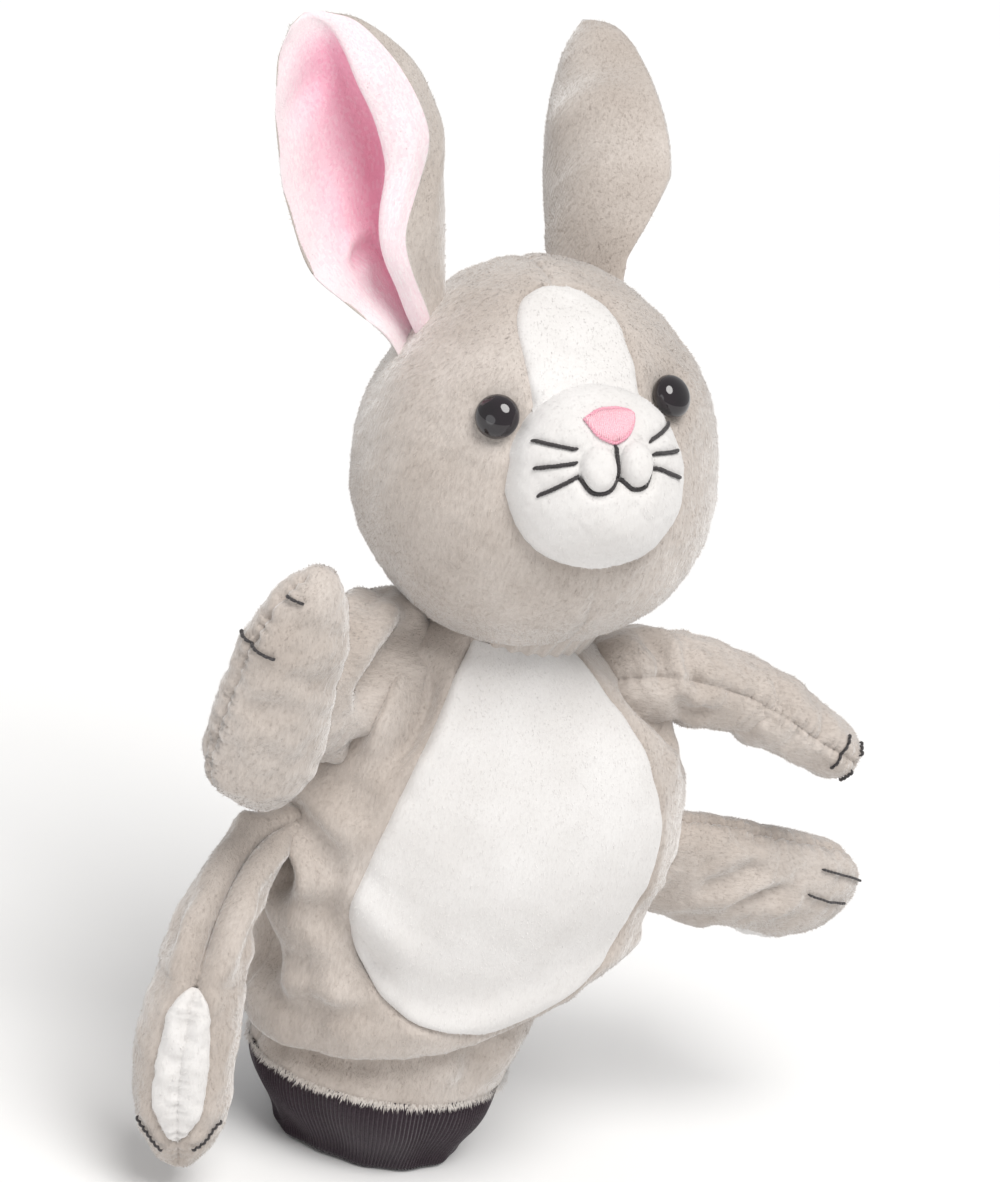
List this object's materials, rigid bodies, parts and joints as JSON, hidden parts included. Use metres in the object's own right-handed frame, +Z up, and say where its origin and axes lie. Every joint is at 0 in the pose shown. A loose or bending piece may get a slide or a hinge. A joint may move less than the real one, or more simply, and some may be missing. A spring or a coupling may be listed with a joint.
{
  "type": "hand puppet",
  "caption": "Plush rabbit glove puppet with a stuffed head, upright ears, sleeved arms and stuffed legs on fabric joints above a knitted wrist cuff.",
  "frame": {"origin": "centre of the hand opening, in the plane of the cuff's lower rim", "axes": "+Z up along the trunk from the cuff to the ears, the rabbit faces -Y, +X is the rabbit's own left side"},
  "size_m": [0.2475, 0.1491, 0.3235],
  "materials": {
    "grey_plush": "short pile, warm grey",
    "white_plush": "short pile, off-white",
    "pink_plush": "short pile, pink",
    "pink_thread": "satin stitch, pale pink",
    "dark_knit": "fine rib knit, near black",
    "black_plastic": "gloss black",
    "black_thread": "stranded thread",
    "washer_plastic": "translucent white",
    "fibre_fill": "loose polyester fibre",
    "lining_tricot": "smooth tricot"
  },
  "bodies": {
    "trunk": {"trunk_front_left": "grey_plush", "trunk_front_right": "grey_plush", "trunk_back_left": "grey_plush", "trunk_back_right": "grey_plush", "belly": "white_plush", "cuff": "dark_knit", "hand_lining": "lining_tricot"},
    "neck": {"head_finger_pocket": "lining_tricot", "neck_collar": "grey_plush"},
    "head": {"head_left": "grey_plush", "head_right": "grey_plush", "blaze": "white_plush", "muzzle": "white_plush", "head_stuffing": "fibre_fill", "eye_left": "black_plastic", "eye_right": "black_plastic", "eye_washer_left": "washer_plastic", "eye_washer_right": "washer_plastic", "nose_stitches": "pink_thread", "mouth_stitches": "black_thread", "philtrum_stitches": "black_thread", "whisker_left_1": "black_thread", "whisker_left_2": "black_thread", "whisker_left_3": "black_thread", "whisker_right_1": "black_thread", "whisker_right_2": "black_thread", "whisker_right_3": "black_thread"},
    "ear_left": {"ear_left_back": "grey_plush", "ear_left_inner": "pink_plush"},
    "upper_arm_left": {"arm_left_sleeve": "grey_plush", "arm_left_finger_stall": "lining_tricot"},
    "paw_left": {"arm_left_paw_side_a": "grey_plush", "arm_left_paw_side_b": "grey_plush", "arm_left_claw_1": "black_thread", "arm_left_claw_2": "black_thread", "arm_left_claw_3": "black_thread"},
    "leg_left": {"leg_left_side_a": "grey_plush", "leg_left_side_b": "grey_plush", "leg_left_sole": "white_plush", "leg_left_stuffing": "fibre_fill", "leg_left_claw_1": "black_thread", "leg_left_claw_2": "black_thread"},
    "ear_right": {"ear_right_back": "grey_plush", "ear_right_inner": "pink_plush"},
    "upper_arm_right": {"arm_right_sleeve": "grey_plush", "arm_right_finger_stall": "lining_tricot"},
    "paw_right": {"arm_right_paw_side_a": "grey_plush", "arm_right_paw_side_b": "grey_plush", "arm_right_claw_1": "black_thread", "arm_right_claw_2": "black_thread"},
    "leg_right": {"leg_right_side_a": "grey_plush", "leg_right_side_b": "grey_plush", "leg_right_sole": "white_plush", "leg_right_stuffing": "fibre_fill", "leg_right_claw_1": "black_thread", "leg_right_claw_2": "black_thread"}
  },
  "joints": [
    {"name": "head_nod", "type": "hinge", "parent": "trunk", "child": "neck", "pos_m": [-0.00582, -0.00265, 0.20711], "axis": [0.9742, 0.017, 0.225], "range_deg": [-18, 18], "stiffness_Nm_per_rad": 1.2, "deforming": ["neck_collar"]},
    {"name": "head_turn", "type": "hinge", "parent": "neck", "child": "head", "pos_m": [-0.00582, -0.00265, 0.20711], "axis": [-0.2231, 0.2211, 0.9494], "range_deg": [-35, 35], "stiffness_Nm_per_rad": 0.4},
    {"name": "ear_left_flop", "type": "hinge", "parent": "head", "child": "ear_left", "pos_m": [0.00808, 0.02098, 0.26691], "axis": [-0.4938, 0.551, -0.6728], "range_deg": [-15, 20], "stiffness_Nm_per_rad": 0.05},
    {"name": "ear_right_flop", "type": "hinge", "parent": "head", "child": "ear_right", "pos_m": [-0.05144, 0.01087, 0.25117], "axis": [0.8579, 0.2426, 0.453], "range_deg": [-15, 20], "stiffness_Nm_per_rad": 0.05},
    {"name": "arm_left_swing", "type": "hinge", "parent": "trunk", "child": "upper_arm_left", "pos_m": [0.041, 0, 0.152], "axis": [0, 0, -1], "range_deg": [-15, 60], "stiffness_Nm_per_rad": 0.1, "deforming": ["arm_left_sleeve", "arm_left_finger_stall"]},
    {"name": "paw_left_bend", "type": "hinge", "parent": "upper_arm_left", "child": "paw_left", "pos_m": [0.076, -0.002, 0.152], "axis": [0, -1, 0], "range_deg": [-20, 25], "stiffness_Nm_per_rad": 0.08},
    {"name": "arm_right_swing", "type": "hinge", "parent": "trunk", "child": "upper_arm_right", "pos_m": [-0.041, -0.003, 0.15], "axis": [0, 0, 1], "range_deg": [-25, 25], "stiffness_Nm_per_rad": 0.1, "deforming": ["arm_right_sleeve", "arm_right_finger_stall"]},
    {"name": "paw_right_bend", "type": "hinge", "parent": "upper_arm_right", "child": "paw_right", "pos_m": [-0.069, -0.024, 0.151], "axis": [1, 0, 0], "range_deg": [-20, 10], "stiffness_Nm_per_rad": 0.08},
    {"name": "leg_left_swing", "type": "hinge", "parent": "trunk", "child": "leg_left", "pos_m": [0.064, -0.002, 0.097], "axis": [0, 1, 0], "range_deg": [-12, 35], "stiffness_Nm_per_rad": 0.25},
    {"name": "leg_right_swing", "type": "hinge", "parent": "trunk", "child": "leg_right", "pos_m": [-0.06, -0.008, 0.1], "axis": [0, 1, 0], "range_deg": [-6, 50], "stiffness_Nm_per_rad": 0.1}
  ]
}
